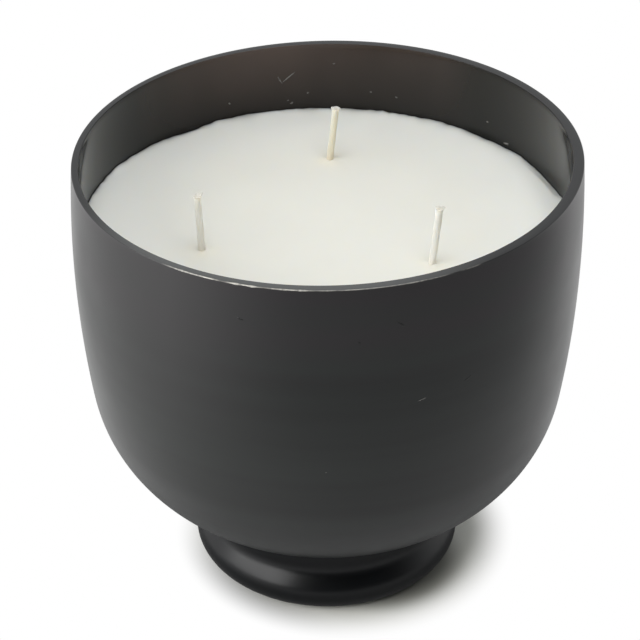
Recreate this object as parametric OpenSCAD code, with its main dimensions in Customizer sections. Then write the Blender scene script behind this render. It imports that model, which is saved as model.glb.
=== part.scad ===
// Candle with three wicks, poured into a footed bowl of dark glass.
// Origin: middle of the face that the foot stands on. +Z is up and -Y is the front.
// All lengths are in millimetres and all angles in degrees.

/* [Bowl] */
// Outside diameter at the widest ring
bowl_d = 162.4; // [150:0.2:180]
// Height of the rim above the table
bowl_h = 150.4; // [142:0.2:165]
// Height of the widest ring above the table
widest_h = 120.5; // [110:0.5:138]
// Section radius of the nearly upright upper wall
wall_arc_r = 380; // [320:5:900]
// Section radius of the round belly
belly_arc_r = 52.5; // [44:0.5:58]
// Thickness of the glass wall
wall = 2.8; // [2:0.1:4.5]
// Thickness of the glass floor
floor_t = 8; // [5:0.5:12]
// Width of the bevel on each edge of the ground rim
rim_bevel = 0.4; // [0.2:0.1:0.8]

/* [Foot] */
// Height of the bowl's underside above the table
foot_h = 24; // [19:0.5:30]
// Diameter over the rounded edge
foot_d = 90.2; // [78:0.2:100]
// Section radius of the rounded edge
foot_edge_r = 7; // [5:0.1:8.5]
// How far the standing face ends inside the rounded edge
foot_base_in = 5.8; // [3:0.1:6.5]
// Slope above level at which the rounded edge passes into the shoulder
foot_shoulder_a = 30; // [20:1:40]
// Section radius of the sloping shoulder
foot_shoulder_r = 24; // [14:0.5:40]
// How far the neck above the shoulder lies inside the rounded edge
foot_neck_in = 4.2; // [3:0.1:6]
// Section radius of the waist, which sweeps out from the neck to the bowl
foot_waist_r = 27; // [20:0.5:45]
// Diameter of the hollow under the foot
hollow_d = 66; // [40:0.5:72]
// Depth of the hollow under the foot
hollow_depth = 2.5; // [1:0.1:5]

/* [Wax] */
// Depth of the wax surface below the rim
wax_drop = 25.2; // [15:0.2:45]
// Gap that the wax leaves at the wall as it shrinks
wax_gap = 0.25; // [0.15:0.05:0.5]
// Width of the softened edge of the wax surface
wax_edge = 0.8; // [0.3:0.1:2]

/* [Wicks] */
// Diameter of each wick
wick_d = 2.2; // [1.8:0.1:3.2]
// How far the wick tabs' middles lie past the edge of the flat floor
tab_past_floor = 6.4; // [-4:0.1:7]
// Place of the left wick's tab round the axis, from +X
left_angle = 202.6; // [190:0.2:220]
// Lean of the left wick from upright
left_lean = 2.9; // [0:0.1:8]
// Direction in which the left wick leans
left_lean_dir = 207; // [180:1:240]
// Length of the left wick above the wax
left_free = 20.3; // [6:0.1:24]
// Place of the back wick's tab round the axis, from +X
back_angle = 102.2; // [80:0.2:110]
// Lean of the back wick from upright
back_lean = 6.4; // [0:0.1:8]
// Direction in which the back wick leans
back_lean_dir = 26; // [0:1:110]
// Length of the back wick above the wax
back_free = 19.7; // [6:0.1:24]
// Place of the right wick's tab round the axis, from +X
right_angle = 308.8; // [300:0.2:340]
// Lean of the right wick from upright
right_lean = 6.3; // [0:0.1:8]
// Direction in which the right wick leans
right_lean_dir = 30; // [0:1:60]
// Length of the right wick above the wax
right_free = 19.8; // [6:0.1:24]

/* [Wick tabs] */
// Diameter of the stamped tab under each wick
tab_d = 14; // [10:0.5:18]
// Thickness of the tab's sheet
tab_t = 0.4; // [0.2:0.05:0.8]
// Height of the tab's crimped neck above its underside
tab_neck_h = 6; // [3.5:0.5:10]
// Size of the flare where the neck leaves the tab
tab_flare = 1.2; // [0.5:0.1:2]
// Diameter of the glue pad under the tab
glue_d = 12; // [8:0.5:16]
// Thickness of the glue pad where it is thinnest
glue_min = 0.5; // [0.3:0.1:1.5]
// Clearance between a wick, its tab and the wax cast round them
cast_gap = 0.1; // [0.05:0.05:0.25]

/* [Hidden] */

$fn = 96;
// Straight steps along one section arc
arc_steps = 20;

// Places of the values in one wick's list
ANGLE = 0;
LEAN = 1;
LEAN_DIR = 2;
FREE = 3;
left = [left_angle, left_lean, left_lean_dir, left_free];
back = [back_angle, back_lean, back_lean_dir, back_free];
right = [right_angle, right_lean, right_lean_dir, right_free];
wicks = [left, back, right];

// The bowl's section is two arcs: a flat one for the wall and a round one for the belly.
// They share one tangent at joint_a below the level of the widest ring.
wall_c = [bowl_d / 2 - wall_arc_r, widest_h];
joint_a = asin((widest_h - foot_h - belly_arc_r) / (wall_arc_r - belly_arc_r));
joint_dir = [cos(joint_a), -sin(joint_a)];
belly_c = wall_c + (wall_arc_r - belly_arc_r) * joint_dir;

// A floor thicker than the wall moves the belly's arc outwards along the shared tangent's normal.
function belly_shift(inset, floor) = (floor - inset) / (1 - sin(joint_a));
function belly_r(inset, floor) = belly_arc_r - inset - belly_shift(inset, floor);
function belly_mid(inset, floor) = belly_c + belly_shift(inset, floor) * joint_dir;

// Radius of the wall at a height above the joint of the arcs
function wall_r(inset, z) = wall_c[0] + sqrt(pow(wall_arc_r - inset, 2) - pow(z - widest_h, 2));

floor_z = foot_h + floor_t;
wax_h = bowl_h - wax_drop;
inner_belly_r = belly_r(wall, floor_t);
flat_floor_r = belly_mid(wall, floor_t)[0];

foot_edge_c = [
  foot_d / 2 - foot_edge_r,
  sqrt(pow(foot_edge_r, 2) - pow(foot_edge_r - foot_base_in, 2))
];
// The shoulder shares a tangent with the rounded edge and runs up to the neck.
foot_shoulder_c = foot_edge_c
  + (foot_edge_r - foot_shoulder_r) * [cos(foot_shoulder_a), sin(foot_shoulder_a)];
foot_neck_r = foot_d / 2 - foot_neck_in;
foot_neck_a = acos((foot_neck_r - foot_shoulder_c[0]) / foot_shoulder_r);
foot_neck_h = foot_shoulder_c[1] + foot_shoulder_r * sin(foot_neck_a);

wick_r = wick_d / 2;
tab_r = tab_d / 2;
tab_neck_r = wick_r + cast_gap + tab_t;
tab_circle_r = flat_floor_r + tab_past_floor;

// Points of an arc from one angle to another
function arc(c, r, from, to) =
  [for (i = [0 : arc_steps]) let (a = from + (to - from) * i / arc_steps) c + r * [cos(a), sin(a)]];

function reversed(points) = [for (i = [len(points) - 1 : -1 : 0]) points[i]];

// Section of the bowl moved in by inset, from the axis along the floor and up to the height top
function cup_path(inset, floor, top) =
  let (
    belly = arc(belly_mid(inset, floor), belly_r(inset, floor), -90, -joint_a),
    top_a = asin((top - widest_h) / (wall_arc_r - inset)),
    side = arc(wall_c, wall_arc_r - inset, -joint_a, top_a)
  )
  concat([[0, foot_h + floor]], belly, [for (i = [1 : arc_steps]) side[i]]);

// Height of the inside floor at a distance from the axis, above its flat middle
function floor_rise(r) =
  inner_belly_r - sqrt(pow(inner_belly_r, 2) - pow(max(0, r - flat_floor_r), 2));

// Height of the bowl's underside at a distance from the axis
function underside_h(r) =
  foot_h + belly_arc_r - sqrt(pow(belly_arc_r, 2) - pow(max(0, r - belly_c[0]), 2));

// Height of the middle of a tab's underside: its lowest edge clears the rising floor by the glue
function tab_h(w) = floor_z + floor_rise(tab_circle_r + tab_r) + tab_r * sin(w[LEAN]) + glue_min;

function wick_length(w) = (wax_h - tab_h(w)) / cos(w[LEAN]) + w[FREE];

// Places its children on a tab's underside, with +Z along the wick
module along_wick(w) {
  translate([tab_circle_r * cos(w[ANGLE]), tab_circle_r * sin(w[ANGLE]), tab_h(w)])
    rotate([0, 0, w[LEAN_DIR]])
      rotate([0, w[LEAN], 0])
        children();
}

// Solid of the bowl's section moved in by inset
module cup_solid(inset, floor) {
  rotate_extrude()
    polygon(concat(cup_path(inset, floor, bowl_h), [[0, bowl_h]]));
}

module glass_bowl() {
  shoulder_h = bowl_h - rim_bevel;
  rim = [
    [wall_r(0, shoulder_h) - rim_bevel, bowl_h],
    [wall_r(wall, shoulder_h) + rim_bevel, bowl_h]
  ];
  color("#3a3a3a")
    rotate_extrude()
      polygon(concat(
        cup_path(0, 0, shoulder_h),
        rim,
        reversed(cup_path(wall, floor_t, shoulder_h))
      ));
}

// The foot is laid on hot, so its top takes the shape of the bowl's underside.
module glass_foot() {
  dish_r = (pow(hollow_d / 2, 2) + pow(hollow_depth, 2)) / (2 * hollow_depth);
  dish_a = asin(hollow_d / 2 / dish_r);
  dish = arc([0, hollow_depth - dish_r], dish_r, 90, 90 - dish_a);
  edge = arc(foot_edge_c, foot_edge_r, -asin(foot_edge_c[1] / foot_edge_r), foot_shoulder_a);
  shoulder = arc(foot_shoulder_c, foot_shoulder_r, foot_shoulder_a, foot_neck_a);
  waist_a = asin((underside_h(foot_d / 2) - foot_neck_h) / foot_waist_r);
  waist = arc([foot_neck_r + foot_waist_r, foot_neck_h], foot_waist_r, 180, 180 - waist_a);
  waist_top_r = waist[arc_steps][0];
  top_h = foot_h + belly_arc_r;
  color("#1e2022")
    difference() {
      rotate_extrude()
        polygon(concat(
          dish,
          edge,
          [for (i = [1 : arc_steps]) shoulder[i]],
          [for (i = [1 : arc_steps]) waist[i]],
          [[waist_top_r, top_h], [0, top_h]]
        ));
      cup_solid(0, 0);
    }
}

// Room that a wick, its tab and its glue pad take in the wax
module wick_room(w) {
  gap_r = tab_r + cast_gap;
  neck_gap_r = tab_neck_r + cast_gap;
  sheet_top = tab_t + cast_gap;
  neck_top = tab_neck_h + cast_gap;
  below = tab_h(w) - foot_h;
  above = wick_length(w) + wick_d;
  along_wick(w)
    rotate_extrude()
      polygon([
        [0, -below],
        [gap_r, -below],
        [gap_r, sheet_top],
        [neck_gap_r + tab_flare, sheet_top],
        [neck_gap_r, sheet_top + tab_flare],
        [neck_gap_r, neck_top],
        [wick_r + cast_gap, neck_top],
        [wick_r + cast_gap, above],
        [0, above]
      ]);
}

module wax_fill() {
  inset = wall + wax_gap;
  edge_h = wax_h - wax_edge;
  color("ivory")
    difference() {
      rotate_extrude()
        polygon(concat(
          cup_path(inset, floor_t, edge_h),
          [[wall_r(inset, edge_h) - wax_edge, wax_h], [0, wax_h]]
        ));
      for (w = wicks)
        wick_room(w);
    }
}

module wick(w) {
  color("antiquewhite")
    along_wick(w)
      cylinder(h = wick_length(w), r = wick_r);
}

// Stamped disc with a crimped neck, which holds the wick's lower end upright
module wick_tab(w) {
  bore_r = wick_r + cast_gap;
  color("silver")
    along_wick(w)
      rotate_extrude()
        polygon([
          [bore_r, 0],
          [tab_r, 0],
          [tab_r, tab_t],
          [tab_neck_r + tab_flare, tab_t],
          [tab_neck_r, tab_t + tab_flare],
          [tab_neck_r, tab_neck_h],
          [bore_r, tab_neck_h]
        ]);
}

// Pad of glue between the tab and the glass, which follows the rise of the floor
module tab_glue(w) {
  reach = tab_h(w) - foot_h;
  color("khaki")
    intersection() {
      along_wick(w)
        translate([0, 0, -reach])
          cylinder(h = reach, r = glue_d / 2);
      cup_solid(wall, floor_t);
    }
}

glass_bowl();
glass_foot();
wax_fill();
wick(left);  // wick_left
wick(back);  // wick_back
wick(right);  // wick_right
wick_tab(left);  // tab_left
wick_tab(back);  // tab_back
wick_tab(right);  // tab_right
tab_glue(left);  // glue_left
tab_glue(back);  // glue_back
tab_glue(right);  // glue_right
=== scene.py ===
"""Dresses the footed glass candle: satin glass, poured wax and waxed cotton wicks in a white studio."""

import math

import bpy
import numpy as np
from bpy.props import FloatProperty, FloatVectorProperty, IntProperty, PointerProperty
from bpy.types import Operator, Panel, PropertyGroup
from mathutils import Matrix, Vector


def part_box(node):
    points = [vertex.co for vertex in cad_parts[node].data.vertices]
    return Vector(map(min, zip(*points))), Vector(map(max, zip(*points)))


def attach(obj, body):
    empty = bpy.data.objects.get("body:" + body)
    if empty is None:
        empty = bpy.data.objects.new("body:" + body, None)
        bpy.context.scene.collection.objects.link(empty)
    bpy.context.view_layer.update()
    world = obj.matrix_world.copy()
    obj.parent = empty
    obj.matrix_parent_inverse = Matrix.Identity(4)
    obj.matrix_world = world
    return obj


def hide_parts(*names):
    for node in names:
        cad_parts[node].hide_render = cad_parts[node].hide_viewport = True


bl_info = {
    "name": "Footed glass candle",
    "version": (1, 0, 0),
    "blender": (4, 5, 0),
    "location": "3D View > Sidebar > Candle",
    "description": "Builds the glass, wax and wicks of a footed candle bowl around its CAD frame",
    "category": "Object",
}

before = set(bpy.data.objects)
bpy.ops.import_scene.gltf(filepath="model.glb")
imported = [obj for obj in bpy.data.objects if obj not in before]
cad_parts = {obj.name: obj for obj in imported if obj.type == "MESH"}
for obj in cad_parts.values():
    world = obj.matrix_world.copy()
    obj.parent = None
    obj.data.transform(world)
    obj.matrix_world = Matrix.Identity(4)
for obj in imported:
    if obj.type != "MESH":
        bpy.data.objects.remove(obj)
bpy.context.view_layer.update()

BODY = "root"
WICK_SIDES = ("left", "back", "right")
# Shares of the rim's height at which the slope of the rim and the drift of its inside begin
SLOPE_FROM = 0.55
DRIFT_FROM = 0.78

BOWL_LOW, BOWL_HIGH = (np.array(corner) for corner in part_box("glass_bowl"))
FOOT_LOW, FOOT_HIGH = (np.array(corner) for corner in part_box("glass_foot"))
WAX_LOW, WAX_HIGH = (np.array(corner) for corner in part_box("wax_fill"))


def one_number(label, words, default, **more):
    """A property that holds one number."""
    return FloatProperty(name=label, description=words, default=default, **more)


def length(label, words, default):
    """A length in metres."""
    return one_number(label, words, float(default), min=0.0, precision=5, unit="LENGTH")


def angle(label, words, degrees):
    """An angle, written in degrees."""
    return one_number(label, words, math.radians(degrees), subtype="ANGLE", unit="ROTATION")


def share(label, words, default, top=1.0):
    """A plain factor."""
    return one_number(label, words, default, min=0.0, max=top, precision=4, subtype="FACTOR")


def pixels(label, words, default):
    """A length in pixels of the frame."""
    return one_number(label, words, default, min=1.0, subtype="PIXEL")


def tint(label, words, default):
    """A linear colour."""
    return FloatVectorProperty(
        name=label, description=words, default=default, subtype="COLOR", size=3, min=0.0, max=1.0
    )


class BowlProps(PropertyGroup):
    """Sizes and finish of the glass bowl."""

    widest_d: length("Widest diameter", "Outside diameter at the widest ring", BOWL_HIGH[1] - BOWL_LOW[1])
    rim_h: length("Rim height", "Height of the rim above the table", BOWL_HIGH[2])
    underside_h: length("Underside height", "Height of the bowl's underside above the table", BOWL_LOW[2])
    widest_h: length("Widest height", "Height of the widest ring above the table", 0.1205)
    wall_arc_r: length("Wall arc", "Section radius of the nearly upright wall", 0.380)
    belly_arc_r: length("Belly arc", "Section radius of the round belly", 0.0525)
    wall: length("Wall", "Thickness of the glass wall", 0.0028)
    floor_t: length("Floor", "Thickness of the glass floor", WAX_LOW[2] - BOWL_LOW[2])
    rim_bevel: length("Rim bevel", "Width of the bevel on each edge of the ground rim", 0.0004)
    rim_slope: share("Rim slope", "Rise of the hand-cut rim from left to right, per unit of width", 0.0168)
    rim_drift: length("Rim drift", "How far the inside of the rim lies off centre, to the left", 0.0006)
    colour_low: tint("Lower glass", "Glass colour near the foot", (0.0028, 0.0038, 0.0033))
    colour_high: tint("Upper glass", "Glass colour near the rim", (0.0128, 0.0096, 0.0116))
    # Painted sheen: a lighter glass colour high on the left of the bowl, where the light from the left falls
    colour_sheen: tint("Frost", "Glass colour where it is frosted most", (0.040, 0.038, 0.039))
    colour_inside: tint("Inside", "Colour of the smoky glass inside", (0.0890, 0.0655, 0.0570))
    colour_gloss: tint("Inside gloss", "Tint of the gloss on the smoky glass inside", (0.56, 0.55, 0.54))
    colour_cut: tint("Cut rim", "Colour of the flat rim where it is still dark", (0.0045, 0.0045, 0.0045))
    colour_rim: tint("Ground rim", "Colour of the flat rim where it is rubbed grey", (0.070, 0.072, 0.070))
    # Painted glint: ground glass rubbed bare along the edge, also lightened to stand for the glint of the
    # light from the left
    colour_edge_glint: tint("Bare edge", "Colour of ground glass where the edge is rubbed bare", (0.62, 0.60, 0.54))
    satin: share("Outside roughness", "Roughness of the satin outside", 0.34)
    gloss: share("Inside roughness", "Roughness of the glossy inside", 0.09)


class FootProps(PropertyGroup):
    """Sizes and finish of the glass foot."""

    width: length("Foot diameter", "Diameter over the rounded edge", FOOT_HIGH[1] - FOOT_LOW[1])
    edge_r: length("Edge radius", "Section radius of the rounded edge", 0.0070)
    base_in: length("Base inset", "How far the standing face ends inside the rounded edge", 0.0058)
    shoulder_turn: angle("Shoulder slope", "Slope at which the rounded edge passes into the shoulder", 30.0)
    shoulder_r: length("Shoulder radius", "Section radius of the sloping shoulder", 0.024)
    neck_in: length("Neck inset", "How far the neck lies inside the rounded edge", 0.0042)
    waist_r: length("Waist radius", "Section radius of the waist that sweeps out to the bowl", 0.027)
    neck_ease: length("Neck easing", "Length over which the crease at the neck is rounded off", 0.0022)
    hollow_d: length("Hollow diameter", "Diameter of the hollow under the foot", 0.066)
    hollow_depth: length("Hollow depth", "Depth of the hollow under the foot", 0.0025)
    colour: tint("Foot glass", "Colour of the foot's glass", (0.0010, 0.0014, 0.0020))
    roughness: share("Foot roughness", "Roughness of the fire-polished foot", 0.345)


class WaxProps(PropertyGroup):
    """Sizes and finish of the poured wax."""

    surface_h: length("Wax height", "Height of the wax surface above the table", WAX_HIGH[2])
    gap: length("Wall gap", "Gap between the wax and the wall below its edge", 0.00025)
    edge: length("Soft edge", "Width of the softened edge of the wax", 0.0003)
    # Reach of the painted shade where the wax meets the wall
    edge_shade_reach: length("Thin edge", "How far from the wall thin wax lets the dark glass through", 0.0011)
    waver: length("Edge waver", "How far the contact line wanders", 0.00055)
    collar_h: length("Collar", "Height that the wax climbs up each wick", 0.0003)
    colour: tint("Wax", "Colour of the wax", (0.780, 0.776, 0.708))
    # Painted light: the wax is lighter and cooler close to the wall
    colour_outer_light: tint("Outer wax", "Colour of the wax close to the wall", (0.835, 0.843, 0.796))
    # Colour of the painted shade where the wax meets the wall
    colour_edge_shade: tint("Thin wax", "Colour of the wax where it thins out at the wall", (0.040, 0.040, 0.042))
    colour_stain: tint("Wick stain", "Colour of the wax close to a wick", (0.830, 0.790, 0.650))


class WickProps(PropertyGroup):
    """Sizes and finish of the cotton wicks."""

    fullness: share("Fullness", "Mean radius of the soft cotton as a share of the core's", 1.06, 2.0)
    flare_length: length("Flare length", "Length over which the tip opens", 0.0017)
    braid_depth: share("Braid depth", "Depth of the braid as a share of the radius", 0.05)
    braid_pitch: length("Braid pitch", "Length of one turn of a strand", 0.0075)
    strands: IntProperty(
        name="Strands", description="Strands each way in the braid", default=3, min=1, subtype="UNSIGNED"
    )
    colour: tint("Cotton", "Colour of the dry cotton", (0.915, 0.870, 0.755))
    # Darker cotton colour, mixed into each wick by its share
    colour_darker_cotton: tint("Waxed cotton", "Colour of the cotton that holds most wax", (0.790, 0.705, 0.545))
    # Cream colour of the soaked cotton, lightened as painted light against the shade at the wick's foot
    colour_soaked_and_lit: tint("Soaked cotton", "Colour of the cotton close above the wax", (0.950, 0.910, 0.815))
    colour_cut: tint("Cut cotton", "Colour of the cut tip", (0.520, 0.485, 0.410))


class StageProps(PropertyGroup):
    """Camera and light of the white studio."""

    distance: length("Camera distance", "Distance of the camera from the point it looks at", 0.720)
    elevation: angle("Camera elevation", "Angle at which the camera looks down", 33.263)
    aim_h: length("Aim height", "Height of the point that the camera looks at", 0.0880)
    offset: length("Camera offset", "How far the camera stands left of the bowl's axis", 0.0023)
    focal_px: pixels("Focal length", "Focal length in pixels of the frame", 2190.6)
    frame_px: pixels("Frame", "Width of the square frame in pixels", 640.0)
    room_tint: tint("Room colour", "Colour of the light that the room sends back", (0.96, 0.98, 1.00))
    room_front: share("Front of the room", "Brightness of the room behind the camera", 0.05)
    room_back: share("Back of the room", "Brightness of the wall behind the candle", 1.0, 2.0)
    room_left: share("Left gain", "Gain of the room's light on the left", 1.5, 2.0)
    room_right: share("Right gain", "Gain of the room's light on the right", 1.3, 2.0)
    room_high: share("High gain", "Gain of the room's light high up", 0.42)
    colour_paper: tint("Paper", "Colour of the paper round the foot", (1.0, 1.0, 0.92))
    # Painted shade on the paper in front on the left
    colour_left_shade: tint("Paper on the left", "Colour of the paper in front on the left", (0.05, 0.05, 0.046))
    colour_deep: tint("Deep shade", "Colour of the paper at the foot on the right", (0.326, 0.326, 0.290))
    mirrored_paper: share("Mirrored paper", "Grey of the paper in front, as the glass mirrors it", 0.50)


def settings():
    """The scene's property groups in one holder."""
    return bpy.context.scene.candle


class CandleProps(PropertyGroup):
    """All sizes and colours of the candle."""

    bowl: PointerProperty(type=BowlProps)
    foot: PointerProperty(type=FootProps)
    wax: PointerProperty(type=WaxProps)
    wick: PointerProperty(type=WickProps)
    stage: PointerProperty(type=StageProps)


# Curves and grids

def arc(centre, radius, start, stop, count):
    """Points of a circle about centre from the angle start to stop: centre + radius (cos, sin)."""
    turn = np.linspace(start, stop, count)
    return np.column_stack([centre[0] + radius * np.cos(turn), centre[1] + radius * np.sin(turn)])


def line(start, stop, count):
    """Evenly spaced points from start to stop, without the last one."""
    share_along = np.linspace(0.0, 1.0, count, endpoint=False)[:, None]
    return np.asarray(start) * (1.0 - share_along) + np.asarray(stop) * share_along


def smooth(low, high, value):
    """0 below low, 1 above high, and the cubic 3t^2 - 2t^3 between them."""
    t = np.clip((value - low) / (high - low), 0.0, 1.0)
    return t * t * (3.0 - 2.0 * t)


def around(sides):
    """Evenly spaced angles round an axis, from 0."""
    return np.linspace(0.0, 2.0 * np.pi, sides, endpoint=False)


def ring_noise(turn, waves, seed):
    """Closed noise round a ring, about -1 to 1: a sum of sines with whole wave counts and seeded phases."""
    rng = np.random.default_rng(seed)
    counts = np.arange(waves[0], waves[1] + 1)
    phase = rng.uniform(0.0, 2.0 * np.pi, counts.size)
    size = rng.uniform(0.4, 1.0, counts.size)
    total = np.sum(size * np.sin(np.asarray(turn)[..., None] * counts + phase), axis=-1)
    return total / np.sqrt(np.sum(size**2))


def joint_angle(bowl):
    """Angle below the widest ring at which the wall's arc meets the belly's arc."""
    rise = bowl.widest_h - bowl.underside_h - bowl.belly_arc_r
    return math.asin(rise / (bowl.wall_arc_r - bowl.belly_arc_r))


def cup_path(bowl, inset, floor, top, counts):
    """Section of the bowl moved in by inset: flat floor from the axis, belly arc, then wall arc up to top.

    A floor thicker than the inset moves the belly's centre out along the normal that both arcs share."""
    joint = joint_angle(bowl)
    normal = np.array([math.cos(joint), -math.sin(joint)])
    wall_mid = np.array([bowl.widest_d / 2 - bowl.wall_arc_r, bowl.widest_h])
    shift = (floor - inset) / (1.0 - math.sin(joint))
    belly_mid = wall_mid + (bowl.wall_arc_r - bowl.belly_arc_r + shift) * normal
    wall_r = bowl.wall_arc_r - inset
    top_turn = math.asin((top - bowl.widest_h) / wall_r)
    base = line([0.0, bowl.underside_h + floor], [belly_mid[0], bowl.underside_h + floor], counts[0])
    belly = arc(belly_mid, bowl.belly_arc_r - inset - shift, -math.pi / 2, -joint, counts[1])
    side = arc(wall_mid, wall_r, -joint, top_turn, counts[2])
    return np.concatenate([base, belly, side[1:]])


def underside(bowl, radius):
    """Height of the bowl's underside at a distance from the axis: flat, then the belly's arc."""
    joint = joint_angle(bowl)
    flat_r = bowl.widest_d / 2 - bowl.wall_arc_r + (bowl.wall_arc_r - bowl.belly_arc_r) * math.cos(joint)
    past = np.maximum(0.0, radius - flat_r)
    return bowl.underside_h + bowl.belly_arc_r - np.sqrt(bowl.belly_arc_r**2 - past**2)


def drift(bowl, height):
    """How far the inside of the bowl lies to the left at a height: 0 low down, all of it at the rim."""
    return bowl.rim_drift * smooth(DRIFT_FROM * bowl.rim_h, bowl.rim_h, height)


def tilt(bowl, x, height):
    """How far the hand-cut rim's slope lifts a point: slope times x, fading out downwards."""
    return bowl.rim_slope * x * smooth(SLOPE_FROM * bowl.rim_h, bowl.rim_h, height)


def turned_grid(radius, height, sides):
    """Grid of a turned shape, rows along the section and columns round the axis: (r cos a, r sin a, h)."""
    turn = around(sides)
    columns = (np.reshape(value, (len(value), -1)) for value in (radius, height))
    radius, height = (np.broadcast_to(column, (len(column), sides)) for column in columns)
    return np.stack([radius * np.cos(turn), radius * np.sin(turn), height], axis=-1)


def closed_parts(start, grid, stop):
    """Points, quads and triangles of a grid of rings, closed by a fan to the point start and one to stop."""
    rows, sides = grid.shape[:2]
    points = np.concatenate([[start], grid.reshape(-1, 3), [stop]])
    col = np.arange(sides)
    following = (col + 1) % sides
    row = 1 + np.arange(rows)[:, None] * sides
    here, ahead = row + col, row + following
    quads = np.stack([here[:-1], ahead[:-1], ahead[1:], here[1:]], axis=-1).reshape(-1, 4)
    first_fan = np.column_stack([np.zeros(sides, int), ahead[0], here[0]])
    last_fan = np.column_stack([np.full(sides, len(points) - 1), here[-1], ahead[-1]])
    return points, quads, np.concatenate([first_fan, last_fan])


def new_mesh(name, points, faces):
    """A mesh of points, and of faces that list the numbers of their corners."""
    mesh = bpy.data.meshes.new(name)
    mesh.from_pydata(points, [], faces)
    return mesh


def closed_mesh(name, start, grid, stop, values=None):
    """Mesh of a closed grid. values holds one number per grid point for each named attribute, and the two
    poles take their row's mean."""
    points, quads, fans = closed_parts(start, grid, stop)
    mesh = new_mesh(name, points.tolist(), quads.tolist() + fans.tolist())
    for label, value in (values or {}).items():
        spread = np.broadcast_to(value, grid.shape[:2])
        flat = np.concatenate([[spread[0].mean()], spread.ravel(), [spread[-1].mean()]])
        mesh.attributes.new(label, "FLOAT", "POINT").data.foreach_set("value", flat.astype(np.float32))
    return mesh


def set_down(name, data):
    """A new object that shows data in the scene, at the origin."""
    made = bpy.data.objects.new(name, data)
    bpy.context.scene.collection.objects.link(made)
    return made


def place(name, mesh, material, nodes, sharp=None):
    """Puts a finished mesh into the scene, on the candle's body and in the place of its CAD nodes. Edges that
    bend by more than sharp, in degrees, stay crisp."""
    mesh.validate()
    mesh.shade_smooth()
    if sharp is not None:
        mesh.set_sharp_from_angle(angle=math.radians(sharp))
    mesh.materials.append(material)
    piece = set_down(name, mesh)
    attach(piece, BODY)
    if nodes:
        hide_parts(*nodes)


def wick_axis(side):
    """Lower end, upper end and radius of a wick, from the two end rings of its CAD solid."""
    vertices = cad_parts["wick_" + side].data.vertices
    points = np.empty(len(vertices) * 3)
    vertices.foreach_get("co", points)
    points = points.reshape(-1, 3)
    middle = (points[:, 2].min() + points[:, 2].max()) / 2
    lower, upper = points[points[:, 2] < middle], points[points[:, 2] > middle]
    ends = [(part.min(axis=0) + part.max(axis=0)) / 2 for part in (lower, upper)]
    radius = np.linalg.norm(lower - ends[0], axis=1).max()
    return ends[0], ends[1], radius


# Materials

# Part of a noise's range that holds most of it
NOISE_SPAN = (0.3, 0.7)
# Smoke and painted light in the glass inside, from the left of the bowl to its right: place from 0 to 1 and
# density. The painted light makes the back lighter than the sides.
SMOKE_AND_LIGHT_STREAK = ((0.09, 0.03), (0.14, 0.36), (0.21, 0.70), (0.30, 0.96), (0.42, 1.0), (0.50, 0.76),
                (0.62, 0.53), (0.73, 0.42), (0.83, 0.09))


class Net:
    """Short calls for adding and joining the nodes of one tree."""

    def __init__(self, tree, clear=False):
        self.tree = tree
        if clear:
            tree.nodes.clear()
        self.coords = self.node("ShaderNodeTexCoord")

    def node(self, kind, inputs=None, **options):
        """A new node with its options and inputs set."""
        made = self.tree.nodes.new(kind)
        for key, value in options.items():
            setattr(made, key, value)
        for key, value in (inputs or {}).items():
            self.feed(made.inputs[key], value)
        return made

    def feed(self, socket, value):
        """Links a socket into another, or sets its own value."""
        if isinstance(value, bpy.types.NodeSocket):
            self.tree.links.new(value, socket)
        elif socket.type == "RGBA" and len(value) == 3:
            socket.default_value = (*value, 1.0)
        else:
            socket.default_value = value

    def blend(self, factor, first, second):
        """Mix of two shader nodes."""
        return self.node("ShaderNodeMixShader", {0: factor, 1: first.outputs[0], 2: second.outputs[0]})

    def finish(self, kind, shader):
        """Joins the last shader to an output node."""
        self.node(kind, {"Surface": shader.outputs[0]})

    def ranged(self, value, span, to_low=0.0, to_high=1.0, curve="LINEAR"):
        """Value carried from the range span into the range to_low to to_high, and held at its ends."""
        sockets = ("Value", "From Min", "From Max", "To Min", "To Max")
        inputs = dict(zip(sockets, (value, *span, to_low, to_high)))
        return self.node("ShaderNodeMapRange", inputs, interpolation_type=curve).outputs["Result"]

    def eased(self, value, span, to_low=0.0, to_high=1.0):
        """As ranged, with a soft start and end."""
        return self.ranged(value, span, to_low, to_high, "SMOOTHSTEP")

    def math(self, operation, a, b):
        """Two numbers joined by an operation."""
        return self.node("ShaderNodeMath", {0: a, 1: b}, operation=operation).outputs[0]

    def product(self, first, *others):
        """All numbers multiplied."""
        for value in others:
            first = self.math("MULTIPLY", first, value)
        return first

    def vector(self, operation, a, b):
        """Number that an operation makes of two vectors."""
        return self.node("ShaderNodeVectorMath", {0: a, 1: b}, operation=operation).outputs["Value"]

    def mix(self, factor, a, b):
        """Colour between a and b, through the node's colour sockets, which have no names of their own."""
        return self.node("ShaderNodeMix", {0: factor, 6: a, 7: b}, data_type="RGBA").outputs[2]

    def ramp(self, value, stops):
        """Smooth curve of greys through the stops, each a place from 0 to 1 and its grey."""
        made = self.node("ShaderNodeValToRGB", {"Fac": value})
        made.color_ramp.interpolation = "EASE"
        while len(made.color_ramp.elements) < len(stops):
            made.color_ramp.elements.new(0.5)
        for element, (spot, grey) in zip(made.color_ramp.elements, stops):
            element.position = spot
            element.color = (grey, grey, grey, 1.0)
        return made.outputs["Color"]

    def looking(self):
        """Two switches: 1 for camera rays, and 1 for rays off a glossy surface or through a clear one."""
        path = self.node("ShaderNodeLightPath").outputs
        mirrored = self.math("MAXIMUM", path["Is Glossy Ray"], path["Is Transmission Ray"])
        return path["Is Camera Ray"], mirrored


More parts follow.
